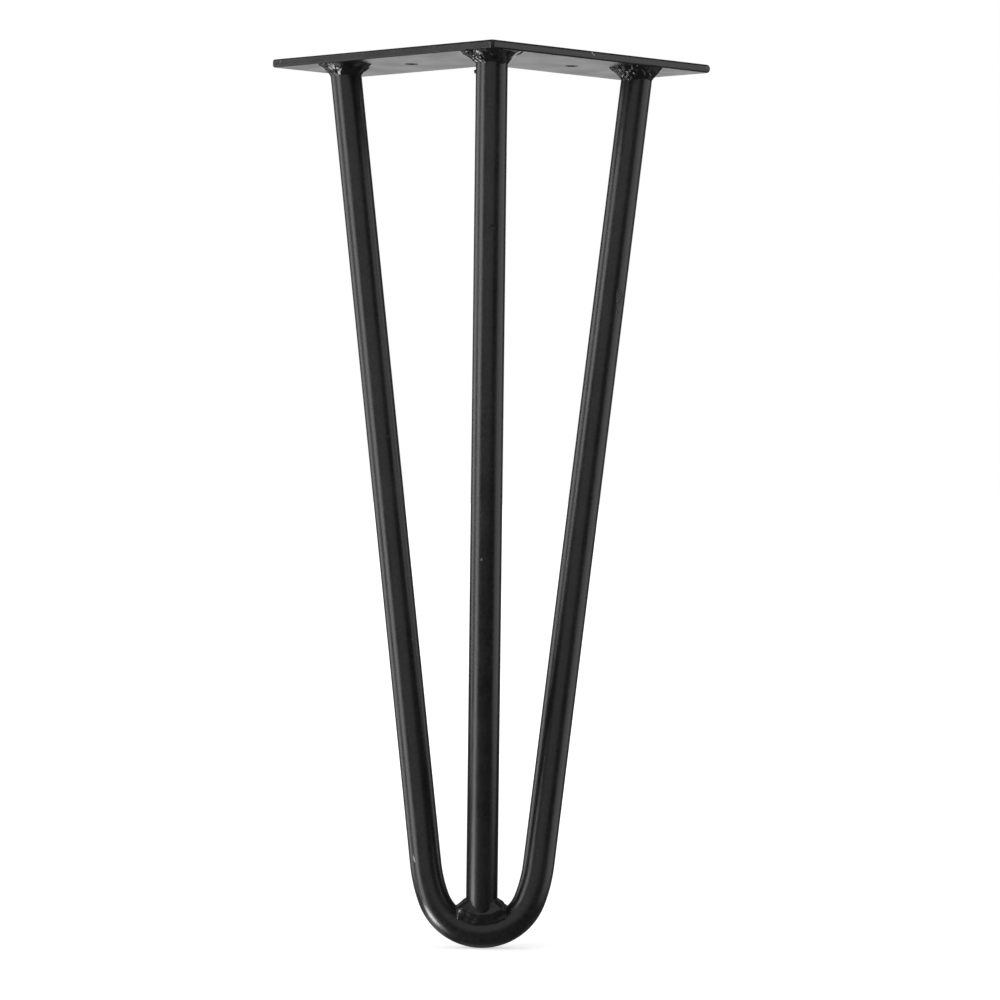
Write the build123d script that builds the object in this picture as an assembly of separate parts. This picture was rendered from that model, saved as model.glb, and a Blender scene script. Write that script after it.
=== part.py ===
from build123d import *
import os
from math import asin, atan2, cos, degrees, radians, sin, sqrt

# Hairpin table leg: a round bar bent into a hairpin and braced by a straight centre rod,
# both welded under an L-shaped screw plate. Millimetres, +Z up towards the table top.
# The origin is on top of the plate, midway between its two screw holes.
# The plate's outer corner points along -Y, and the leg is symmetric about the plane X = 0.

# Overall, from the top of the plate to the floor
overall_height = 350.0

# Round bar, the same stock for the hairpin and the centre rod
bar_diameter = 12.0

# L-shaped plate: reaches are measured along an arm, from the outer edge of the other arm
plate_thickness = 3.0
arm_length = 125.0
arm_width = 50.0
corner_radius = 1.5
arm_end_radius = 1.5
screw_hole_diameter = 5.0
screw_hole_reach = 70.0

# Rod axes where they meet the plate: in from an arm's outer edge, and back from its end
rod_edge_inset = 11.0
rod_end_inset = 31.5

# Foot: how far it stands behind the plate's outer corner, and its bend on the bar's centre line.
# The tight bend opens out through a wider shoulder, in degrees, before each rod runs straight.
foot_setback = 33.0
bend_radius = 20.0
shoulder_radius = 58.0
shoulder_turn = 14.0

# Weld beads under the plate: how far they spread over it from the rod, how far down they reach,
# and how deep their lower rim starts inside the rod
outer_weld_spread = 4.4
centre_weld_spread = 5.5
plate_weld_depth = 5.0
weld_bite = 0.3

# Weld bead at the foot: degrees that it follows the bend to each side and wraps down the bar,
# how far it climbs the rod and stands proud of it, its width at the top, and the gap it fills
foot_weld_sweep = 46.0
foot_weld_wrap = 66.0
foot_weld_climb = 3.5
foot_weld_crown = 0.5
foot_weld_top_width = 8.0
foot_root_gap = 0.3

bar_radius = bar_diameter / 2
pattern_setback = (screw_hole_reach + arm_width / 2) / sqrt(2)


def plate_point(reach, inset, side):
    """A place on the left (-1) or right (1) arm, reach along it and inset from its outer edge."""
    return (side * (reach - inset) / sqrt(2), (reach + inset) / sqrt(2) - pattern_setback)


def rod_top(reach, side):
    """The place where a rod's axis meets the underside of the plate."""
    return Vector(*plate_point(reach, rod_edge_inset, side), -plate_thickness)


# The middle of the bar at the lowest point of the bend
foot_centre = Vector(0, foot_setback - pattern_setback, bar_radius - overall_height)
left_rod_top = rod_top(arm_length - rod_end_inset, -1)
right_rod_top = rod_top(arm_length - rod_end_inset, 1)
centre_rod_top = rod_top(rod_edge_inset, 1)

# The hairpin lies in the leaning plane through the foot and both rod tops, with Y up its slope
slope = Vector(0, right_rod_top.Y - foot_centre.Y, right_rod_top.Z - foot_centre.Z)
bend_plane = Plane(foot_centre, x_dir=(1, 0, 0), z_dir=(0, -slope.Z, slope.Y))
rod_end = Vector(right_rod_top.X, slope.length)

# Each straight rod is tangent to its shoulder, so its lean follows from where it has to end
to_rod_end = rod_end - Vector(0, bend_radius)
eased_radius = shoulder_radius - (shoulder_radius - bend_radius) * cos(radians(shoulder_turn))
rod_lean = degrees(atan2(to_rod_end.X, to_rod_end.Y) - asin(eased_radius / to_rod_end.length))

# Solids that are made standing on their own origin
standing = (Align.CENTER, Align.CENTER, Align.MIN)

# All the space from the underside of the plate upwards, which trims the rods flush with it
trimming_block = Box(4 * arm_length, 4 * arm_length, overall_height, align=standing)
above_underside = Pos(0, 0, -plate_thickness) * trimming_block


def plate_outline():
    """The L seen from above, with all its corners rounded."""
    corners = [
        plate_point(0, 0, 1),
        plate_point(arm_length, 0, 1),
        plate_point(arm_length, arm_width, 1),
        plate_point(arm_width, arm_width, 1),
        plate_point(arm_length, arm_width, -1),
        plate_point(arm_length, 0, -1),
    ]
    outline = make_face(Polyline(*corners, close=True))
    bends = outline.vertices().filter_by(lambda corner: abs(corner.X) < corner_radius)
    outline = fillet(bends, corner_radius)
    arm_ends = outline.vertices().filter_by(lambda corner: abs(corner.X) > corner_radius)
    return fillet(arm_ends, arm_end_radius)


def make_mounting_plate():
    """Flat plate with its top at Z = 0 and a plain screw hole on the middle line of each arm."""
    plate = extrude(plate_outline(), -plate_thickness)
    for side in (-1, 1):
        hole_place = Pos(*plate_point(screw_hole_reach, arm_width / 2, side), -plate_thickness / 2)
        plate -= hole_place * Cylinder(screw_hole_diameter / 2, 2 * plate_thickness)
    return plate


def hairpin_path():
    """The bar's centre line, from the foot up to both rod tops and on past them, to be cut there."""
    bend = JernArc((0, 0), (1, 0), bend_radius, 90 - rod_lean - shoulder_turn)
    shoulder = JernArc(bend @ 1, bend % 1, shoulder_radius, shoulder_turn)
    straight = Line(shoulder @ 1, rod_end + (shoulder % 1) * bar_diameter)
    half = Curve() + [bend, shoulder, straight]
    both = half + mirror(half, Plane.YZ)
    return Wire((bend_plane * both).edges())


def up_outer_rod(side):
    """Direction up the left (-1) or right (1) outer rod."""
    lean = radians(rod_lean)
    return bend_plane.x_dir * (side * sin(lean)) + bend_plane.y_dir * cos(lean)


def make_hairpin_bar():
    """One round bar swept along the hairpin, with its two ends cut flush with the plate."""
    path = hairpin_path()
    section = Plane(path @ 0, z_dir=path % 0) * Circle(bar_radius)
    return sweep(section, path) - above_underside


def centre_rod_foot():
    """Frame at the lower end of the centre rod, with its Z axis up the rod."""
    up_rod = (centre_rod_top - foot_centre).normalized()
    inner_bend = bend_radius - bar_radius
    bedded = bend_radius - sqrt(inner_bend**2 - bar_radius**2)
    return Plane(foot_centre + up_rod * (bedded + foot_root_gap), x_dir=(1, 0, 0), z_dir=up_rod)


def make_centre_rod(rod_foot):
    """Straight rod, square at its foot, where its rim beds in the bend, and flush with the plate."""
    length = (centre_rod_top - rod_foot.origin).length + bar_diameter
    rod = Cylinder(bar_radius, length, align=standing)
    return rod_foot * rod - above_underside


def make_plate_weld(top, up_rod, spread):
    """Upright conical bead from inside the rod up to the plate, cut off at the plate's outer edges."""
    toe = top - up_rod * (plate_weld_depth / up_rod.Z)
    cone = Cone(bar_radius - weld_bite, bar_radius + spread, plate_weld_depth, align=standing)
    rod = Plane(top, z_dir=up_rod) * Cylinder(bar_radius, 4 * plate_weld_depth)
    below_plate = extrude(plate_outline(), -4 * plate_weld_depth)
    return (Pos(toe) * cone - rod) & below_plate


def make_foot_weld(rod_foot, rod):
    """Bead swept along the inside of the bend, filling in round and under the end of the rod."""
    section_plane = Plane(foot_centre, x_dir=bend_plane.z_dir, z_dir=-bend_plane.x_dir)
    rod_end_height = section_plane.to_local_coords(rod_foot.origin).Y
    top_height = rod_end_height + foot_weld_climb
    up_rod = rod_foot.z_dir
    rod_slant = up_rod.dot(bend_plane.z_dir) / up_rod.dot(bend_plane.y_dir)

    wrap = radians(foot_weld_wrap)
    front_toe = Vector(bar_radius * sin(wrap), bar_radius * cos(wrap))
    back_toe = Vector(-front_toe.X, front_toe.Y)
    rod_middle = Vector(rod_slant * rod_end_height, rod_end_height)
    rod_side = Vector(bar_radius + foot_weld_crown, 0)
    top_middle = Vector(rod_slant * top_height, top_height)
    top_side = Vector(foot_weld_top_width / 2, 0)
    on_bar = ThreePointArc(front_toe, (0, bar_radius), back_toe)
    over_rod = Polyline(
        back_toe,
        rod_middle - rod_side,
        top_middle - top_side,
        top_middle + top_side,
        rod_middle + rod_side,
        front_toe,
    )
    section = section_plane * make_face([on_bar, over_rod])
    bend_axis = Axis(foot_centre + bend_plane.y_dir * bend_radius, bend_plane.z_dir)
    bead = revolve(section.rotate(bend_axis, -foot_weld_sweep), bend_axis, 2 * foot_weld_sweep)
    return bead - rod


rod_foot = centre_rod_foot()
centre_rod = make_centre_rod(rod_foot)

nodes = {
    "mounting_plate": make_mounting_plate(),
    "hairpin_bar": make_hairpin_bar(),
    "centre_rod": centre_rod,
    "left_top_weld": make_plate_weld(left_rod_top, up_outer_rod(-1), outer_weld_spread),
    "right_top_weld": make_plate_weld(right_rod_top, up_outer_rod(1), outer_weld_spread),
    "centre_top_weld": make_plate_weld(centre_rod_top, rod_foot.z_dir, centre_weld_spread),
    "foot_weld": make_foot_weld(rod_foot, centre_rod),
}

os.makedirs("parts", exist_ok=True)
for name, solid in nodes.items():
    solid.label = name
    export_step(solid, f"parts/{name}.step")
    print(name, round(solid.volume), "mm3")
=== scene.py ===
# %% [markdown]
# # A three-rod hairpin table leg
# This leg is a round steel bar bent into a hairpin, a straight rod that braces it from the front,
# and an L-shaped plate that is screwed under a table top. Four weld beads hold them together,
# and everything is powder coated in satin black.
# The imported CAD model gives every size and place. Here each of its pieces is modelled again with
# smooth surfaces, uneven weld beads and a real finish, in the same frame and in metres.

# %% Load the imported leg
from math import asin, atan2, cos, degrees, pi, radians, sin, sqrt, tan

import bmesh
import bpy
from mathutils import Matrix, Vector, noise


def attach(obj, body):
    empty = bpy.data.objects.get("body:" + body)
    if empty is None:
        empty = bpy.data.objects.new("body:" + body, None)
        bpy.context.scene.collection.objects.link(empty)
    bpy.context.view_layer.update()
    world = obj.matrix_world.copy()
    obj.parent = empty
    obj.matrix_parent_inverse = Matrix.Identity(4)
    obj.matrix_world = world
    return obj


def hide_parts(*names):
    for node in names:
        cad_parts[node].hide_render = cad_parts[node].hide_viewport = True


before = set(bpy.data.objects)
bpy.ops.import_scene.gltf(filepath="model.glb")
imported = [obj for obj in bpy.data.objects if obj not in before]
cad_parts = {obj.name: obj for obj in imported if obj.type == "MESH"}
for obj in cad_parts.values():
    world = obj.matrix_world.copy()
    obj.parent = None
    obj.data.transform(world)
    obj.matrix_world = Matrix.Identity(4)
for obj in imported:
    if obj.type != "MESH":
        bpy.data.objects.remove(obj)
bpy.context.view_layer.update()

# %% [markdown]
# ## Working by hand, in code
# Blender's operators act on what is selected, just as they do under the mouse.
# So before each piece everything is deselected, and inside edit mode a small helper picks the
# vertices or edges to work on by their place. Modifiers are added and applied at once.

# %% Selecting, applying and finishing
mm = 0.001
same_place = 0.001 * mm
middle_seam = 0.01 * mm


def start_piece():
    """Leaves nothing selected, so that the next operator acts on the new piece alone."""
    if bpy.context.object and bpy.context.object.mode != "OBJECT":
        bpy.ops.object.mode_set(mode="OBJECT")
    bpy.ops.object.select_all(action="DESELECT")


def take_up(piece):
    """Selects one piece alone and makes it the piece in hand."""
    start_piece()
    piece.select_set(True)
    bpy.context.view_layer.objects.active = piece


def new_piece(name):
    """Names the primitive that was just added and puts its place into its mesh."""
    piece = bpy.context.object
    piece.name = name
    piece.data.name = name
    bpy.ops.object.transform_apply(location=True, rotation=True, scale=True)
    return piece


def edit(on):
    """Switches edit mode on or off for the piece in hand."""
    bpy.ops.object.mode_set(mode="EDIT" if on else "OBJECT")


def pick(piece, kind, passes):
    """In edit mode, selects the vertices or edges whose middle passes a test."""
    bpy.ops.mesh.select_mode(type=kind)
    bpy.ops.mesh.select_all(action="DESELECT")
    shape = bmesh.from_edit_mesh(piece.data)
    if kind == "VERT":
        found = [v for v in shape.verts if passes(v.co)]
    else:
        found = [e for e in shape.edges if passes((e.verts[0].co + e.verts[1].co) / 2)]
    for element in found:
        element.select_set(True)
    shape.select_flush_mode()
    bmesh.update_edit_mesh(piece.data)


def apply_modifier(piece, kind, **settings):
    """Adds a modifier with these settings and applies it."""
    bpy.context.view_layer.objects.active = piece
    modifier = piece.modifiers.new(kind.lower(), kind)
    for setting, value in settings.items():
        setattr(modifier, setting, value)
    bpy.ops.object.modifier_apply(modifier=modifier.name)


def point_faces_out(piece):
    """Merges doubled vertices and turns every face outwards."""
    take_up(piece)
    edit(True)
    bpy.ops.mesh.select_all(action="SELECT")
    bpy.ops.mesh.remove_doubles(threshold=same_place)
    bpy.ops.mesh.normals_make_consistent(inside=False)
    edit(False)


def mirror_sideways(piece):
    """Adds the other half of a piece, joined to it on the leg's middle plane."""
    apply_modifier(piece, "MIRROR", use_axis=(True, False, False), use_clip=True,
                   merge_threshold=middle_seam)


def stands_for(piece, node):
    """The finished piece rides on the leg and takes the place of its plain CAD node."""
    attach(piece, "root")
    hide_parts(node)
    sizes = [round(side / mm, 2) for side in piece.dimensions]
    print(piece.name, "has", len(piece.data.polygons), "faces and measures", sizes, "mm")


# %% [markdown]
# ## The leg's lines
# A hairpin leg is drawn from a few points: where each rod meets the plate, and where the bend
# touches the floor. The hairpin lies in the leaning plane through the foot and both outer rod tops.
# Its tight bend opens through a wider shoulder, and each straight rod leaves that shoulder in line
# with it, so the lean of the rods follows from where they have to end.
# The powder coat adds a little to the bar and the plate, inwards from the table top and the floor.

# %% Rod tops, foot and bend
bare_bar_radius = 6 * mm
sheet_thickness = 3 * mm
coat_thickness = 0.15 * mm
bar_radius = bare_bar_radius + coat_thickness
plate_thickness = sheet_thickness + 2 * coat_thickness
arm_length = 125 * mm
arm_width = 50 * mm
screw_hole_reach = 70 * mm
rod_edge_inset = 11 * mm
rod_end_inset = 31.5 * mm
overall_height = 350 * mm
foot_setback = 33 * mm
bend_radius = 20 * mm
shoulder_radius = 58 * mm
shoulder_turn = radians(14)
pattern_setback = (screw_hole_reach + arm_width / 2) / sqrt(2)


def plate_point(reach, inset, side, height):
    """A place on the left (-1) or right (1) arm, reach along it and inset from its outer edge."""
    sideways = side * (reach - inset) / sqrt(2)
    backwards = (reach + inset) / sqrt(2) - pattern_setback
    return Vector((sideways, backwards, height))


foot_centre = Vector((0, foot_setback - pattern_setback, bar_radius - overall_height))
left_rod_top = plate_point(arm_length - rod_end_inset, rod_edge_inset, -1, -plate_thickness)
right_rod_top = plate_point(arm_length - rod_end_inset, rod_edge_inset, 1, -plate_thickness)
centre_rod_top = plate_point(rod_edge_inset, rod_edge_inset, 1, -plate_thickness)

across = Vector((1, 0, 0))
slope = Vector((0, right_rod_top.y - foot_centre.y, right_rod_top.z - foot_centre.z))
up_slope = slope.normalized()
out_of_bend = across.cross(up_slope)
reach_up = slope.length - bend_radius
eased_radius = shoulder_radius - (shoulder_radius - bend_radius) * cos(shoulder_turn)
reach_to_top = sqrt(right_rod_top.x ** 2 + reach_up ** 2)
rod_lean = atan2(right_rod_top.x, reach_up) - asin(eased_radius / reach_to_top)
bend_turn = pi / 2 - rod_lean - shoulder_turn
bend_centre = foot_centre + up_slope * bend_radius
print("outer rods lean", round(degrees(rod_lean), 2), "degrees to each side")
print("bend turns", round(degrees(bend_turn), 2), "degrees to each side")

# %% [markdown]
# ## Mounting plate: the flat L
# The plate is 3 mm sheet cut to an L. It could be a filled curve, but a plane whose edges are
# pulled out into two arms shows the real sizes at each step. Its corners are rounded while it is
# still flat, because there a bevel of single vertices is enough.

# %% Mounting plate: the flat L
corner_radius = 1.5 * mm
corner_steps = 10
arm_end_radius = 1.5 * mm
arm_end_steps = 8
near_enough = 0.1 * mm
in_line = radians(1)

start_piece()
bpy.ops.mesh.primitive_plane_add(size=arm_width, location=(arm_width / 2, arm_width / 2, 0))
plate = new_piece("screw_plate")
edit(True)
pick(plate, "EDGE", lambda p: abs(p.x - arm_width) < near_enough)
bpy.ops.mesh.extrude_region_move(TRANSFORM_OT_translate={"value": (arm_length - arm_width, 0, 0)})
pick(plate, "EDGE", lambda p: abs(p.y - arm_width) < near_enough and p.x < arm_width)
bpy.ops.mesh.extrude_region_move(TRANSFORM_OT_translate={"value": (0, arm_length - arm_width, 0)})
bpy.ops.mesh.select_all(action="SELECT")
bpy.ops.mesh.dissolve_limited(angle_limit=in_line)
pick(plate, "VERT", lambda p: abs(p.x - p.y) < near_enough)
bpy.ops.mesh.bevel(offset=corner_radius, segments=corner_steps, affect="VERTICES")
pick(plate, "VERT", lambda p: max(p.x, p.y) > arm_length - near_enough)
bpy.ops.mesh.bevel(offset=arm_end_radius, segments=arm_end_steps, affect="VERTICES")
edit(False)
plate.rotation_euler.z = radians(45)
plate.location.y = -pattern_setback
bpy.ops.object.transform_apply(location=True, rotation=True, scale=True)
print("flat L with", len(plate.data.vertices), "corners and", len(plate.data.polygons), "face")

# %% [markdown]
# ## Mounting plate: thickness and rims
# Solidify gives the sheet its thickness, downwards from the face that meets the table top. Powder
# coat never leaves a razor edge, so Bevel softens every rim while there are no holes to disturb it.
# The right tip was ground to a round nose: two cuts across it give it rows of vertices, and each
# row is pressed a little thinner than the one before.

# %% Mounting plate: thickness and rims
rim_softness = 1.0 * mm
rim_steps = 5
rim_angle = radians(40)
nose_cuts = (1.4 * mm, 0.9 * mm)
nose_rows = [(1.4 * mm, 0.96), (0.9 * mm, 0.94), (0.45 * mm, 0.82), (0.15 * mm, 0.78)]

apply_modifier(plate, "SOLIDIFY", thickness=plate_thickness, offset=-1)
apply_modifier(plate, "BEVEL", width=rim_softness, segments=rim_steps, limit_method="ANGLE",
               angle_limit=rim_angle)
highest_corner = plate.bound_box[6]
right_tip = Vector((highest_corner[0], 0, -plate_thickness / 2))
take_up(plate)
edit(True)
for reach in nose_cuts:
    bpy.ops.mesh.select_all(action="SELECT")
    bpy.ops.mesh.bisect(plane_co=right_tip - across * reach, plane_no=across)
for reach, thinner in nose_rows:
    pick(plate, "VERT", lambda p: p.x > right_tip.x - reach)
    bpy.ops.transform.resize(value=(1, 1, thinner), center_override=right_tip)
edit(False)
print("plate with soft rims has", len(plate.data.polygons), "faces")

# %% [markdown]
# ## Mounting plate: screw holes
# One plain screw hole goes through the middle of each arm. Two cuts that cross at the hole's middle
# divide the flat faces first, so that the drill, a cylinder in a Boolean, leaves clean edges round
# each hole. Then the rims of the holes get their own small bevel.

# %% Mounting plate: screw holes
screw_hole_radius = 2.5 * mm
hole_rim = 0.4 * mm
hole_rim_steps = 3
drill_sides = 64
drill_length = 4 * plate_thickness
on_the_rim = 0.1 * near_enough
flat_face_weight = 80

hole_places = [
    plate_point(screw_hole_reach, arm_width / 2, side, -plate_thickness / 2)
    for side in (-1, 1)
]
edit(True)
for hole_place in hole_places:
    for cut_direction in ((1, 1, 0), (1, -1, 0)):
        bpy.ops.mesh.select_all(action="SELECT")
        bpy.ops.mesh.bisect(plane_co=hole_place, plane_no=cut_direction)
edit(False)
for hole_place in hole_places:
    start_piece()
    bpy.ops.mesh.primitive_cylinder_add(vertices=drill_sides, radius=screw_hole_radius,
                                        depth=drill_length, location=hole_place,
                                        rotation=(0, 0, pi / drill_sides))
    drill = bpy.context.object
    apply_modifier(plate, "BOOLEAN", object=drill, operation="DIFFERENCE", solver="EXACT")
    bpy.data.objects.remove(drill)


def on_hole_rim(p):
    """Whether a place lies on the upper or lower rim of a screw hole."""
    from_holes = [abs((p - hole_place).xy.length - screw_hole_radius) for hole_place in hole_places]
    from_middle = abs(p.z + plate_thickness / 2)
    from_face = abs(from_middle - plate_thickness / 2)
    return min(from_holes) < on_the_rim and from_face < on_the_rim


take_up(plate)
edit(True)
pick(plate, "EDGE", on_hole_rim)
bpy.ops.mesh.bevel(offset=hole_rim, segments=hole_rim_steps, affect="EDGES")
edit(False)
take_up(plate)
bpy.ops.object.shade_smooth()
apply_modifier(plate, "WEIGHTED_NORMAL", keep_sharp=True, weight=flat_face_weight)
stands_for(plate, "mounting_plate")

# %% [markdown]
# ## Hairpin bar
# The real bar is bent cold round a former, so its section stays round all the way.
# A curve with a bevel would do, but spinning a circle is closer to the bending itself: one spin
# makes the tight bend from the foot, a second about a further centre makes the shoulder, and an
# extrude runs the rod up to the plate, where a bisect cuts it flush. A Mirror makes the other half.

# %% Hairpin bar
bar_sides = 96
bend_steps = 56
shoulder_steps = 24
sharp_angle = radians(40)


def cut_at_plate():
    """In edit mode, cuts off what runs past the underside of the plate and closes the cut."""
    bpy.ops.mesh.select_all(action="SELECT")
    bpy.ops.mesh.bisect(plane_co=(0, 0, -plate_thickness), plane_no=(0, 0, 1),
                        clear_outer=True, use_fill=True)


start_piece()
bpy.ops.mesh.primitive_circle_add(vertices=bar_sides, radius=bar_radius, location=foot_centre,
                                  rotation=(0, pi / 2, 0))
bar = new_piece("bent_bar")
edit(True)
bpy.ops.mesh.select_all(action="SELECT")
bpy.ops.mesh.spin(steps=bend_steps, angle=bend_turn, center=bend_centre, axis=-out_of_bend)
bend_spoke = across * sin(bend_turn) - up_slope * cos(bend_turn)
shoulder_centre = bend_centre + bend_spoke * (bend_radius - shoulder_radius)
bpy.ops.mesh.spin(steps=shoulder_steps, angle=shoulder_turn, center=shoulder_centre,
                  axis=-out_of_bend)
up_right_rod = across * sin(rod_lean) + up_slope * cos(rod_lean)
bpy.ops.mesh.extrude_region_move(TRANSFORM_OT_translate={"value": up_right_rod * overall_height})
cut_at_plate()
edit(False)
mirror_sideways(bar)
point_faces_out(bar)
bpy.ops.object.shade_smooth_by_angle(angle=sharp_angle)
stands_for(bar, "hairpin_bar")

# %% [markdown]
# ## Centre rod
# The brace is the same bar, cut square. Its lower rim beds in the inside of the bend, a hair above
# it, and the weld fills that gap. A circle is turned to face up the rod, extruded past the plate
# and cut flush there, and its lower rim is broken with a small bevel as a saw cut would be.

# %% Centre rod
foot_root_gap = 0.3 * mm
saw_cut_rim = 0.4 * mm
saw_cut_steps = 3
saw_cut_angle = radians(60)

up_centre_rod = (centre_rod_top - foot_centre).normalized()
bedded = bend_radius - sqrt((bend_radius - bar_radius) ** 2 - bar_radius ** 2)
rod_foot = foot_centre + up_centre_rod * (bedded + foot_root_gap)
tilt_of_rod = up_centre_rod.to_track_quat("Z", "Y").to_euler()

start_piece()
bpy.ops.mesh.primitive_circle_add(vertices=bar_sides, radius=bar_radius, fill_type="NGON",
                                  location=rod_foot, rotation=tilt_of_rod)
rod = new_piece("centre_brace")
edit(True)
bpy.ops.mesh.select_all(action="SELECT")
bpy.ops.mesh.extrude_region_move(TRANSFORM_OT_translate={"value": up_centre_rod * overall_height})
cut_at_plate()
edit(False)
point_faces_out(rod)
apply_modifier(rod, "BEVEL", width=saw_cut_rim, segments=saw_cut_steps, limit_method="ANGLE",
               angle_limit=saw_cut_angle)
bpy.ops.object.shade_smooth_by_angle(angle=sharp_angle)
stands_for(rod, "centre_rod")

# %% [markdown]
# ## Tools for weld beads
# A bead starts as a section: one vertex extruded from point to point. What makes it look laid by
# hand comes later: a vertex group holds how strongly each vertex is pushed out, and Displace moves
# it. A block, used as a Boolean cutter, trims a bead where the plate ends.

# %% Tools for weld beads
def draw_section(name, points):
    """A closed outline made by extruding one vertex from point to point, left in edit mode."""
    start_piece()
    bpy.ops.mesh.primitive_plane_add(size=mm, location=points[0])
    piece = new_piece(name)
    edit(True)
    bpy.ops.mesh.select_mode(type="VERT")
    bpy.ops.mesh.select_all(action="SELECT")
    bpy.ops.mesh.merge(type="CENTER")
    for here, there in zip(points, points[1:] + points[:1]):
        bpy.ops.mesh.extrude_vertices_move(TRANSFORM_OT_translate={"value": there - here})
    bpy.ops.mesh.select_all(action="SELECT")
    bpy.ops.mesh.remove_doubles(threshold=same_place)
    bpy.ops.mesh.select_all(action="SELECT")
    return piece


def push_out(piece, name, height, share):
    """Moves each vertex outwards by height times its share, from 0 to 1."""
    group = piece.vertex_groups.new(name=name)
    for vertex in piece.data.vertices:
        group.add([vertex.index], min(max(share(vertex.co), 0), 1), "REPLACE")
    apply_modifier(piece, "DISPLACE", strength=height, mid_level=0, vertex_group=name)
    piece.vertex_groups.remove(piece.vertex_groups[name])


def pool(along):
    """Round-backed pools of weld, one to each whole number, with a sharp valley between two."""
    return 1 - (2 * (along % 1) - 1) ** 2


def uneven(co):
    """Slow noise about one half, at a place that is measured in lumps."""
    return 0.5 + 0.9 * noise.noise(co)


trim_side = 2 * arm_length


def trim_under_plate(piece):
    """Keeps only what lies under the plate, a hair inside its outer edges."""
    start_piece()
    corner = plate_point(near_enough, near_enough, 1, -plate_thickness)
    middle = corner + Vector((0, trim_side / sqrt(2), -trim_side / 2))
    bpy.ops.mesh.primitive_cube_add(size=trim_side, location=middle, rotation=(0, 0, pi / 4))
    block = bpy.context.object
    apply_modifier(piece, "BOOLEAN", object=block, operation="INTERSECT", solver="EXACT")
    bpy.data.objects.remove(block)


# %% [markdown]
# ## Welds under the plate
# Each rod is welded all round under the plate. The bead is a cone that spreads from the rod over
# the plate and stops at the plate's outer edges. A hand weld is laid in overlapping pools, which
# leave slanted ripples where it cooled fast, on one side, and run smooth on the other.
# The cone's section is spun upright round the rod, pressed flat where one straight run of weld
# meets the next, and pushed out into slow lumps and fine wrinkles. The ripples come last, because
# each push follows the normals, and another one after them would fold their sharp valleys over.

# %% Welds under the plate: one bead
weld_depth = 5 * mm
weld_bite = 0.6 * mm
weld_core = 5 * mm
weld_flare = 1.3
weld_rows = 36
rows_below_plate = 23.5
weld_steps = 180
weld_sharp_angle = radians(50)
lump_height = 0.8 * mm
lump_size = 4.5 * mm
wrinkle_size = 1.1 * mm
ripple_slant = 1.5
ripple_wander = 0.6
wander_size = 3.5 * mm
ripple_growth = 2.5
least_ripple = 0.15


def make_plate_weld(name, node, top, up_rod, spread, pools, rough_side,
                    flat_depth, ripple_height, wrinkle_height):
    """A lumpy cone of weld round one rod, rippled on its rough side and trimmed at the plate."""
    rows = [row / rows_below_plate for row in range(weld_rows)]
    reaches = [bar_radius - weld_bite + spread * up ** weld_flare for up in rows]
    flare = [Vector((reach, 0, weld_depth * up)) for reach, up in zip(reaches, rows)]
    core = [Vector((weld_core, 0, flare[-1].z)), Vector((weld_core, 0, 0))]
    piece = draw_section(name, flare + core)
    bpy.ops.mesh.spin(steps=weld_steps, angle=2 * pi, center=(0, 0, 0), axis=(0, 0, 1),
                      use_auto_merge=True)
    edit(False)
    point_faces_out(piece)
    seed = Vector((pools, 10 * rough_side.x, 10 * rough_side.y))

    def in_core(co):
        return co.xy.length < weld_core + near_enough

    def roughness_at(co):
        return max(0, co.xy.normalized().dot(rough_side.xy.normalized())) ** 2

    def flat(co):
        from_flat = atan2(co.x, -co.y) + pi / 4
        if abs(from_flat) > pi / 4:
            return 0
        up = co.z / weld_depth
        return cos(2 * from_flat) ** 2 * min(up, 3 - 2 * up)

    def lump(co):
        return uneven(co / lump_size - seed)

    def wrinkle(co):
        return uneven(co / wrinkle_size + seed) * roughness_at(co)

    def ripple(co):
        up = co.z / weld_depth
        wander = noise.noise(co / wander_size + seed)
        along = pools * atan2(co.y, co.x) / (2 * pi) + ripple_slant * up + ripple_wander * wander
        strength = least_ripple + (1 - least_ripple) * roughness_at(co)
        return pool(along) * min(1, ripple_growth * up) * strength

    pushes = [
        ("flat", -flat_depth, flat),
        ("lumps", lump_height, lump),
        ("wrinkles", wrinkle_height, wrinkle),
        ("ripples", ripple_height, ripple),
    ]
    for kind, height, share in pushes:
        push_out(piece, kind, height, lambda co: 0 if in_core(co) else share(co))
    piece.location = top - up_rod * (weld_depth / up_rod.z)
    bpy.ops.object.transform_apply(location=True, rotation=True, scale=True)
    trim_under_plate(piece)
    point_faces_out(piece)
    bpy.ops.object.shade_smooth_by_angle(angle=weld_sharp_angle)
    stands_for(piece, node)
    return piece


# %% [markdown]
# ## Welds under the plate: one for each rod
# The three beads differ as they do on the real leg. The left and the centre one are pressed flat
# towards the front left, and the right one is the roughest. Each has its own side that cooled fast.

# %% Welds under the plate: one for each rod
outer_spread = 4.4 * mm
centre_spread = 5.5 * mm
up_left_rod = up_right_rod.reflect(across)

left_weld = make_plate_weld(
    "left_weld_bead", "left_top_weld", left_rod_top, up_left_rod, outer_spread,
    pools=13, rough_side=Vector((-1, -0.4, 0)),
    flat_depth=1.3 * mm, ripple_height=0.3 * mm, wrinkle_height=0.15 * mm,
)
right_weld = make_plate_weld(
    "right_weld_bead", "right_top_weld", right_rod_top, up_right_rod, outer_spread,
    pools=14, rough_side=Vector((-0.5, -1, 0)),
    flat_depth=0.3 * mm, ripple_height=0.55 * mm, wrinkle_height=0.6 * mm,
)
centre_weld = make_plate_weld(
    "centre_weld_bead", "centre_top_weld", centre_rod_top, up_centre_rod, centre_spread,
    pools=15, rough_side=Vector((-1, -0.5, 0)),
    flat_depth=1.5 * mm, ripple_height=0.45 * mm, wrinkle_height=0.2 * mm,
)

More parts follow.
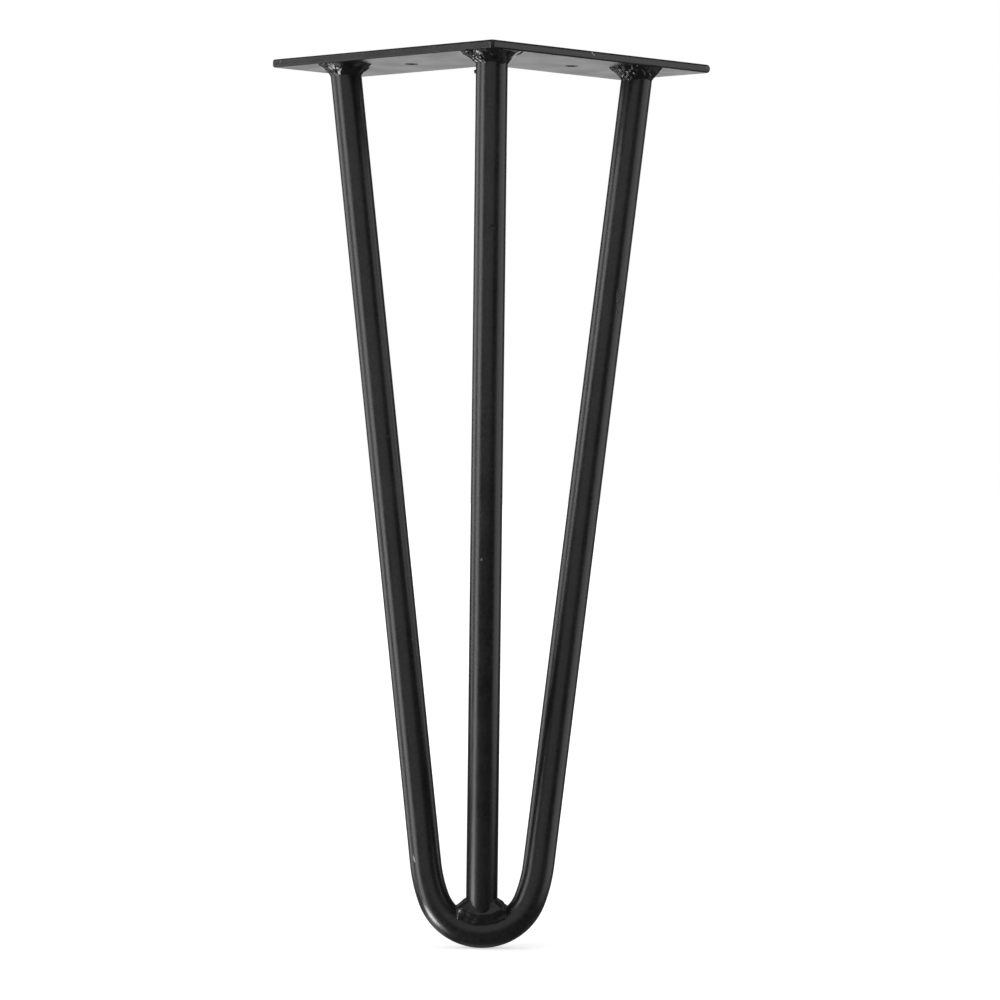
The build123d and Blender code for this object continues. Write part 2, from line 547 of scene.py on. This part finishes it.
# %% [markdown]
# ## A drop of spatter
# Welding throws off small drops of melted steel, and one has stuck to the left of the centre rod
# just below its weld. An ico sphere is stretched along the rod, pushed into lumps and joined to the
# bead that it came from, because on the real leg it is the same steel.

# %% A drop of spatter
spatter_radius = 0.55 * mm
spatter_drop = 7.6 * mm
spatter_stand_off = 0.2 * spatter_radius
spatter_stretch = (0.9, 0.9, 1.2)
spatter_lump_height = 0.2 * mm
spatter_lump_size = 0.5 * mm

start_piece()
from_axis = across * (bar_radius + spatter_stand_off)
spatter_place = centre_rod_top - up_centre_rod * spatter_drop - from_axis
bpy.ops.mesh.primitive_ico_sphere_add(subdivisions=4, radius=spatter_radius, location=spatter_place)
spatter = new_piece("spatter")
edit(True)
bpy.ops.mesh.select_all(action="SELECT")
bpy.ops.transform.resize(value=spatter_stretch, center_override=spatter_place)
edit(False)
push_out(spatter, "lumps", spatter_lump_height,
         lambda co: 0.5 + noise.noise(co / spatter_lump_size))
bpy.ops.object.shade_smooth()
centre_weld.select_set(True)
bpy.context.view_layer.objects.active = centre_weld
bpy.ops.object.join()
print(centre_weld.name, "with its spatter has", len(centre_weld.data.polygons), "faces")

# %% [markdown]
# ## Weld at the foot: the bead
# One bead runs along the inside of the bend and fills in round the end of the centre rod. Seen from
# the side it has a small lip under the rod's end and a hollow below it, down to its toe on the bar.
# That section is drawn in the middle plane, spun along the bend to one side and mirrored.

# %% Weld at the foot: the bead
weld_sweep = radians(46)
weld_wrap = radians(66)
weld_rise = 3 * mm
weld_top_width = 9 * mm
weld_seat = 0.45 * mm
weld_lip = 0.15 * mm
weld_lip_drop = 1.3 * mm
weld_hollow = 1.1 * mm
weld_hollow_drop = 3.3 * mm
weld_root_height = 0.3 * bar_radius
weld_sweep_steps = 32

rod_slant = up_centre_rod.dot(out_of_bend) / up_centre_rod.dot(up_slope)
rod_end_height = (rod_foot - foot_centre).dot(up_slope)


def beside_rod(above_end, half_width):
    """A place in the middle plane, in front of (or behind) the rod's axis, above its end."""
    up = rod_end_height + above_end
    return foot_centre + up_slope * up + out_of_bend * (rod_slant * up + half_width)


def round_bar(turn):
    """A place in the middle plane on the bar, turned from its top towards the front."""
    return foot_centre + (up_slope * cos(turn) + out_of_bend * sin(turn)) * bar_radius


half_section = [
    (-weld_hollow_drop, bar_radius - weld_hollow),
    (-weld_lip_drop, bar_radius + weld_lip),
    (0, bar_radius - weld_seat),
    (weld_rise, weld_top_width / 2),
]
front = [beside_rod(above_end, half_width) for above_end, half_width in half_section]
back = [beside_rod(above_end, -half_width) for above_end, half_width in reversed(half_section)]
inside_bar = foot_centre + up_slope * weld_root_height
foot_section = [round_bar(weld_wrap)] + front + back + [round_bar(-weld_wrap), inside_bar]
foot_weld = draw_section("foot_weld_bead", foot_section)
bpy.ops.mesh.spin(steps=weld_sweep_steps, angle=weld_sweep, center=bend_centre, axis=-out_of_bend)
bpy.ops.mesh.edge_face_add()
edit(False)
mirror_sideways(foot_weld)
point_faces_out(foot_weld)
print("foot bead before trimming has", len(foot_weld.data.polygons), "faces")

# %% [markdown]
# ## Weld at the foot: its footprint
# So far the bead runs on along the bend and ends square. A round block with sloping shoulders,
# standing round the rod, trims it to what one weld covers: a Boolean keeps what lies in both.

# %% Weld at the foot: its footprint
footprint_sides = 96
footprint_margin = 4 * mm
footprint_radius = bar_radius + footprint_margin
shoulder_height = 1.6 * mm
shoulder_rise = 3.8 * mm

start_piece()
below_bead = rod_foot - up_centre_rod * bend_radius
bpy.ops.mesh.primitive_circle_add(vertices=footprint_sides, radius=footprint_radius,
                                  fill_type="NGON", location=below_bead, rotation=tilt_of_rod)
footprint = new_piece("footprint")
edit(True)
bpy.ops.mesh.select_all(action="SELECT")
to_shoulder = up_centre_rod * (bend_radius + shoulder_height)
bpy.ops.mesh.extrude_region_move(TRANSFORM_OT_translate={"value": to_shoulder})
bpy.ops.mesh.extrude_region_move(TRANSFORM_OT_translate={"value": up_centre_rod * shoulder_rise})
narrowing = (bar_radius - weld_seat) / footprint_radius
shoulder_top = rod_foot + up_centre_rod * (shoulder_height + shoulder_rise)
bpy.ops.transform.resize(value=(narrowing, narrowing, narrowing), center_override=shoulder_top)
edit(False)
point_faces_out(footprint)
apply_modifier(foot_weld, "BOOLEAN", object=footprint, operation="INTERSECT", solver="EXACT")
bpy.data.objects.remove(footprint)
print("trimmed foot bead measures", [round(side / mm, 2) for side in foot_weld.dimensions], "mm")

# %% [markdown]
# ## Weld at the foot: its skin
# A voxel remesh gives the trimmed bead one even skin, which Smooth melts together. Then it is
# pushed out into slow lumps and into pools that lean up the rod. The pools are sharp at its two
# sides, where the welder stopped and started, and nearly smooth across the front.

# %% Weld at the foot: its skin
skin_voxel = 0.2 * mm
melting_rounds = 40
foot_lump_height = 0.55 * mm
foot_lump_size = 3 * mm
foot_ripple_height = 0.3 * mm
foot_pools = 16
foot_pool_rise = 5 * mm
foot_wander = 0.4
least_foot_ripple = 0.08

apply_modifier(foot_weld, "REMESH", mode="VOXEL", voxel_size=skin_voxel)
apply_modifier(foot_weld, "SMOOTH", factor=0.5, iterations=melting_rounds)


def foot_ripple(co):
    """Pools that are strongest at the two sides of the rod."""
    from_rod = co - rod_foot
    turn = abs(atan2(from_rod.x, -from_rod.y))
    wander = foot_wander * noise.noise(co / foot_lump_size)
    along = foot_pools * turn / (2 * pi) + from_rod.z / foot_pool_rise + wander
    return pool(along) * (least_foot_ripple + (1 - least_foot_ripple) * sin(turn) ** 4)


push_out(foot_weld, "lumps", foot_lump_height, lambda co: uneven(co / foot_lump_size))
push_out(foot_weld, "ripples", foot_ripple_height, foot_ripple)
take_up(foot_weld)
bpy.ops.object.shade_smooth()
stands_for(foot_weld, "foot_weld")

# %% [markdown]
# ## Shader maths as Python
# Node trees get hard to read when every sum is its own node. This small class wraps a socket, so
# that adding or multiplying two of them writes the Math node, and one method adds any other node.

# %% Sockets that can be added and multiplied
class Socket:
    """An output in a node tree. Sums of sockets and numbers become Math nodes."""

    def __init__(self, tree, socket=None):
        self.tree = tree
        self.socket = socket

    def node(self, kind, inputs, output=0, **settings):
        """Adds a node with these settings and inputs, and returns one of its outputs."""
        made = self.tree.nodes.new(kind)
        for name, value in settings.items():
            setattr(made, name, value)
        for name, value in inputs.items():
            if isinstance(value, Socket):
                self.tree.links.new(value.socket, made.inputs[name])
            else:
                made.inputs[name].default_value = value
        return Socket(self.tree, made.outputs[output])

    def feed(self, node, name):
        """Links this output to a named input of a node."""
        self.tree.links.new(self.socket, node.inputs[name])

    def math(self, operation, first, second=0.0):
        return self.node("ShaderNodeMath", {0: first, 1: second}, operation=operation)

    def __add__(self, other):
        return self.math("ADD", self, other)

    def __radd__(self, other):
        return self.math("ADD", other, self)

    def __sub__(self, other):
        return self.math("SUBTRACT", self, other)

    def __rsub__(self, other):
        return self.math("SUBTRACT", other, self)

    def __mul__(self, other):
        return self.math("MULTIPLY", self, other)

    def __rmul__(self, other):
        return self.math("MULTIPLY", other, self)

    def ramp(self, low, high):
        """0 below low, 1 above high and a smooth step between."""
        return self.node("ShaderNodeMapRange", {"Value": self, "From Min": low, "From Max": high},
                         interpolation_type="SMOOTHSTEP", clamp=True)

    def noise(self, scale, detail):
        """Noise at this place, with its scale in lumps to the metre."""
        return self.node("ShaderNodeTexNoise", {"Vector": self, "Scale": scale, "Detail": detail})

    def length(self):
        """How long a vector is."""
        return self.node("ShaderNodeVectorMath", {0: self}, "Value", operation="LENGTH")

    def mix(self, below, above):
        """The colour below where this is 0, and the one above where it is 1."""
        return self.node("ShaderNodeMix", {"Factor": self, "A": below, "B": above}, "Result",
                         data_type="RGBA")


# %% [markdown]
# ## Marks in the coat
# The coat of this leg isn't perfect: on the right rod it is scuffed into small dents, on the left
# bend it is rubbed in a short streak, and at a nick on the plate's right edge two bright dots are
# painted in as highlights: a light grey in the coat's colour stands in for the glints there.
# Dust that settled while it baked left a few nibs and specks on the rods and at the plate's tips.
# Each mark is a stretched spot at its own place. A Mapping node of the Texture kind moves and turns
# the coordinates so that the spot becomes a ball of radius 1, and the length of the result tells
# how near the middle a point is. A mark either lightens the coat or dents it.

# %% Marks in the coat
def spot(place, centre, along, thickness, length):
    """1 inside a spot stretched along a direction and 0 outside it, with sizes in millimetres."""
    turn = Vector(along).to_track_quat("Z", "Y").to_euler()
    size = Vector((thickness, thickness, length)) * mm / 2
    setting = {"Vector": place, "Location": Vector(centre) * mm, "Rotation": turn, "Scale": size}
    inside = place.node("ShaderNodeMapping", setting, vector_type="TEXTURE")
    return 1 - inside.length().ramp(0.5, 1.0)


upright = (0, 0, 1)
along_left_bend = (0.25, -0.28, -0.93)
scuff_dent = 0.7 * mm
nib_dent = 0.9 * mm
scuffs = [
    {"centre": (51.8, -8.8, -95), "along": up_right_rod,
     "thickness": 4.2, "length": 9, "dent": scuff_dent},
    {"centre": (51.0, -9.7, -101.1), "along": up_right_rod,
     "thickness": 1.8, "length": 1.8, "dent": scuff_dent},
]
streak = {"centre": (-26.5, -35.2, -315.6), "along": along_left_bend,
          "thickness": 0.9, "length": 4, "lighter": 0.2}
nibs = [
    {"centre": (-38.8, -16.7, -151.2), "along": upright,
     "thickness": 2.6, "length": 2.6, "dent": nib_dent},
    {"centre": (0.8, -54.2, -71.3), "along": upright,
     "thickness": 3.0, "length": 3.0, "dent": nib_dent},
]
rod_specks = [
    {"centre": (-1.7, -47.5, -198.8), "along": upright,
     "thickness": 0.9, "length": 1.3, "lighter": 0.11},
    {"centre": (-28.3, -25.5, -230.7), "along": upright,
     "thickness": 0.9, "length": 0.9, "lighter": 0.08},
]
# Painted highlights: the nick's two glints are painted as light grey spots in the coat's colour.
nick_painted_glints = [
    {"centre": (39.2, -27.9, -0.9), "along": upright,
     "thickness": 0.8, "length": 0.8, "lighter": 0.5},
    {"centre": (39.9, -27.2, -1.5), "along": upright,
     "thickness": 0.7, "length": 0.7, "lighter": 0.4},
]
tip_specks = [
    {"centre": (-84.7, 17.5, -1.2), "along": upright,
     "thickness": 0.7, "length": 1.2, "lighter": 0.12},
    {"centre": (86.4, 19.3, -1.2), "along": upright,
     "thickness": 1.0, "length": 1.0, "lighter": 0.1},
]
bar_marks = scuffs + [streak] + nibs + rod_specks
plate_marks = nick_painted_glints + tip_specks
print("marks in the coat:", len(bar_marks), "on the bar and", len(plate_marks), "on the plate")

# %% [markdown]
# ## Satin black powder coat
# Powder coat is plastic baked on steel: nearly black, satin, with the fine orange peel that the
# powder leaves as it melts. Two scales of noise make the peel as a bump. A wide one shifts the
# gloss a little, and with the finest it mottles the black. The plate's edges keep faint lines of
# the shears that cut it, and over the rough metal of a weld the coat runs blacker and shinier.
# It could be one material for all, but four copies of one recipe keep each set of values plain.

# %% Powder coat
blotches_per_metre = 60.0
peel_per_metre = 420.0
grains_per_metre = 900.0
pits_per_metre = 1000.0
cut_lines_per_metre = (20.0, 20.0, 1500.0)
coolness = 1.03
bump_strength = 0.35


def powder_coat(name, black, gloss, peel_depth, cut_lines=0.0, marks=()):
    """A coat by its darkest and lightest black, lowest and highest roughness, and relief."""
    material = bpy.data.materials.new(name)
    material.use_nodes = True
    tree = material.node_tree
    place = Socket(tree).node("ShaderNodeTexCoord", {}, "Object")
    wide = place.noise(blotches_per_metre, 3.0)
    fine = place.noise(grains_per_metre, 2.0)
    dark, light = ((value, value, coolness * value, 1) for value in black)
    shade = (wide * 0.4 + fine * 0.6).ramp(0.3, 0.7)
    colour = shade.mix(dark, light)
    roughness = gloss[0] + wide.ramp(0.25, 0.75) * (gloss[1] - gloss[0])
    height = (place.noise(peel_per_metre, 1.0) * 0.7 + fine * 0.3) * peel_depth
    if cut_lines:
        stretched = place.node("ShaderNodeMapping", {"Vector": place, "Scale": cut_lines_per_metre})
        height = height + stretched.noise(1.0, 2.0) * cut_lines
    for mark in marks:
        mask = spot(place, mark["centre"], mark["along"], mark["thickness"], mark["length"])
        # A lighter mark is a rubbed streak or a dust speck, and at the plate's nick it is a painted
        # highlight.
        if "lighter" in mark:
            grey = mark["lighter"]
            colour = mask.mix(colour, (grey, grey, grey, 1))
        if "dent" in mark:
            pits = place.noise(pits_per_metre, 1.0).ramp(0.42, 0.6)
            height = height - mask * pits * mark["dent"]
    bump = place.node("ShaderNodeBump",
                      {"Height": height, "Strength": bump_strength, "Distance": 1.0})
    shader = tree.nodes["Principled BSDF"]
    colour.feed(shader, "Base Color")
    roughness.feed(shader, "Roughness")
    bump.feed(shader, "Normal")
    print(material.name, "has", len(tree.nodes), "nodes")
    return material


satin_black = (0.002, 0.011)
satin_gloss = (0.28, 0.34)
fine_peel = 0.06 * mm
weld_peel = 0.08 * mm

bar_coat = powder_coat("black_powder_coat", satin_black, satin_gloss, fine_peel, marks=bar_marks)
plate_coat = powder_coat("powder_coat_on_sheet", satin_black, satin_gloss, fine_peel,
                         cut_lines=0.12 * mm, marks=plate_marks)
weld_coat = powder_coat("powder_coat_on_welds", (0.004, 0.006), (0.09, 0.17), weld_peel)
foot_weld_coat = powder_coat("powder_coat_on_foot_weld", (0.005, 0.008), (0.22, 0.30), weld_peel)
plate.data.materials.append(plate_coat)
foot_weld.data.materials.append(foot_weld_coat)
for piece in (bar, rod):
    piece.data.materials.append(bar_coat)
for piece in (left_weld, right_weld, centre_weld):
    piece.data.materials.append(weld_coat)

# %% [markdown]
# ## Floor
# The leg stands on a plain white floor. A white sheet of paper would turn grey away from the lamps,
# so far from the leg the floor also glows for the camera alone, and near the foot it glows less, so
# that the leg's soft shadow stays. Rays that make reflections don't see it, and it casts no shadow,
# because four lamps shine from below as through a light table.

# %% Floor
floor_size = 400
glow_at_foot = 0.5
floor_white = 0.8

start_piece()
bpy.ops.mesh.primitive_plane_add(size=floor_size, location=(0, foot_centre.y, -overall_height))
floor = bpy.context.object
floor.name = "floor"
floor_paint = bpy.data.materials.new("white_floor")
floor_paint.use_nodes = True
floor_tree = floor_paint.node_tree
floor_tree.nodes.clear()
place = Socket(floor_tree).node("ShaderNodeTexCoord", {}, "Object")
seen_by_camera = place.node("ShaderNodeLightPath", {}, "Is Camera Ray")
glow = glow_at_foot + place.length().ramp(0.2, 1.2) * (1 - glow_at_foot)
paint = place.node("ShaderNodeBsdfDiffuse", {"Color": (floor_white, floor_white, floor_white, 1)})
light = place.node("ShaderNodeEmission", {"Color": (1, 1, 1, 1), "Strength": seen_by_camera * glow})
both = place.node("ShaderNodeAddShader", {0: paint, 1: light})
both.feed(floor_tree.nodes.new("ShaderNodeOutputMaterial"), "Surface")
floor.data.materials.append(floor_paint)
floor.visible_glossy = False
floor.visible_shadow = False
print("floor at", round(floor.location.z / mm), "mm")

# %% [markdown]
# ## Soft boxes
# Black gloss shows its shape only by what it mirrors. Two soft boxes on the left draw two long
# streaks down each rod, a wide one on the right draws a dimmer streak, and a weak one in front
# keeps the dark middle from going flat. Two light the plate's top and the back, and four shine up
# from below at the bend and the welds.
# Each box is placed as a photographer would say it: degrees round from the camera, with left
# negative, degrees up, and how far away. Then come its width, its height and how bright it is.
# Three of them also have a grid that narrows their beam: one shines at the bend, two at the welds.

# %% Soft boxes
middle_of_leg = Vector((0, -0.03, -0.17))


def soft_box(name, turn, lift, distance, width, height, brightness, aim=middle_of_leg, beam=180):
    """A rectangular lamp aimed at the leg, with its brightness as radiance along its beam."""
    turn, lift = radians(turn), radians(lift)
    towards = Vector((sin(turn) * cos(lift), -cos(turn) * cos(lift), sin(lift)))
    lamp = bpy.data.lights.new(name, "AREA")
    lamp.shape = "RECTANGLE"
    lamp.size = width
    lamp.size_y = height
    lamp.spread = radians(beam)
    lamp.energy = brightness * pi * width * height * (1 - lamp.spread / 2 / tan(lamp.spread / 2))
    stand = bpy.data.objects.new(name, lamp)
    bpy.context.scene.collection.objects.link(stand)
    stand.location = aim + towards * distance
    stand.rotation_euler = towards.to_track_quat("Z", "Y").to_euler()
    stand.visible_camera = False
    print(name, "at", [round(v, 2) for v in stand.location], "m")


soft_box("left_soft_box", -68, 4, 0.92, 0.38, 1.0, 4.0)
soft_box("left_rear_soft_box", -113, 8, 0.95, 0.46, 1.0, 2.2)
soft_box("right_soft_box", 92, 4, 0.95, 1.0, 1.0, 1.1)
soft_box("front_soft_box", -5, 24, 1.25, 1.5, 1.3, 0.55)
soft_box("top_soft_box", 0, 80, 1.3, 0.8, 0.8, 0.8)
soft_box("back_soft_box", 180, 58, 1.4, 1.0, 0.6, 1.0)
soft_box("light_table_lamp", -79, -33, 0.9, 0.38, 0.30, 28.0, foot_centre, 60)
soft_box("light_table_back", -132, -42, 1.0, 0.7, 0.5, 1.6, centre_rod_top, 42)
soft_box("light_table_right", 132, -42, 1.0, 0.7, 0.5, 0.25, centre_rod_top, 42)
soft_box("light_table_rear", 180, -62, 0.8, 0.4, 0.3, 0.35, foot_centre)

# %% [markdown]
# ## Background
# The picture's background is plain white. The world is white for the camera and through glass. In
# reflections it is white only straight behind the leg, where the paper hangs, which brightens the
# underside of the plate, and dim elsewhere. For all other light it is an even, weak fill.

# %% Background
dim_in_gloss = 0.07
weak_fill = 0.4

world = bpy.data.worlds.new("studio")
bpy.context.scene.world = world
world.use_nodes = True
world_tree = world.node_tree
direction = Socket(world_tree).node("ShaderNodeTexCoord", {}, "Generated")
seen_by_camera = direction.node("ShaderNodeLightPath", {}, "Is Camera Ray")
seen_in_gloss = direction.node("ShaderNodeLightPath", {}, "Is Glossy Ray")
seen_through = direction.node("ShaderNodeLightPath", {}, "Is Transmission Ray")
straight_back = direction.node("ShaderNodeSeparateXYZ", {"Vector": direction}, "Y")
in_gloss = seen_in_gloss * (straight_back.ramp(0.92, 0.985) + dim_in_gloss)
fill = (1 - seen_in_gloss) * weak_fill
strength = direction.math("MAXIMUM", seen_by_camera, seen_through)
strength = direction.math("MAXIMUM", strength, in_gloss + fill)
background = world_tree.nodes["Background"]
background.inputs["Color"].default_value = (1, 1, 1, 1)
strength.feed(background, "Strength")
print("world with", len(world_tree.nodes), "nodes")

# %% [markdown]
# ## Camera
# The picture was taken from about 1.7 metres away with a long lens, level with the middle of the
# leg, so that the rods hardly converge. The last small turns set the leg as it stands there.

# %% Camera
camera_data = bpy.data.cameras.new("camera")
camera_data.sensor_width = 36
camera_data.lens = 156.97
camera = bpy.data.objects.new("camera", camera_data)
bpy.context.scene.collection.objects.link(camera)
camera.location = (-3.62 * mm, -1729.6 * mm, -175.76 * mm)
camera.rotation_euler = (pi / 2, -0.0120, -0.00522)
bpy.context.scene.camera = camera
bpy.context.scene.view_settings.view_transform = "Standard"
print("camera", round(-camera.location.y, 2), "m in front of the plate's middle")
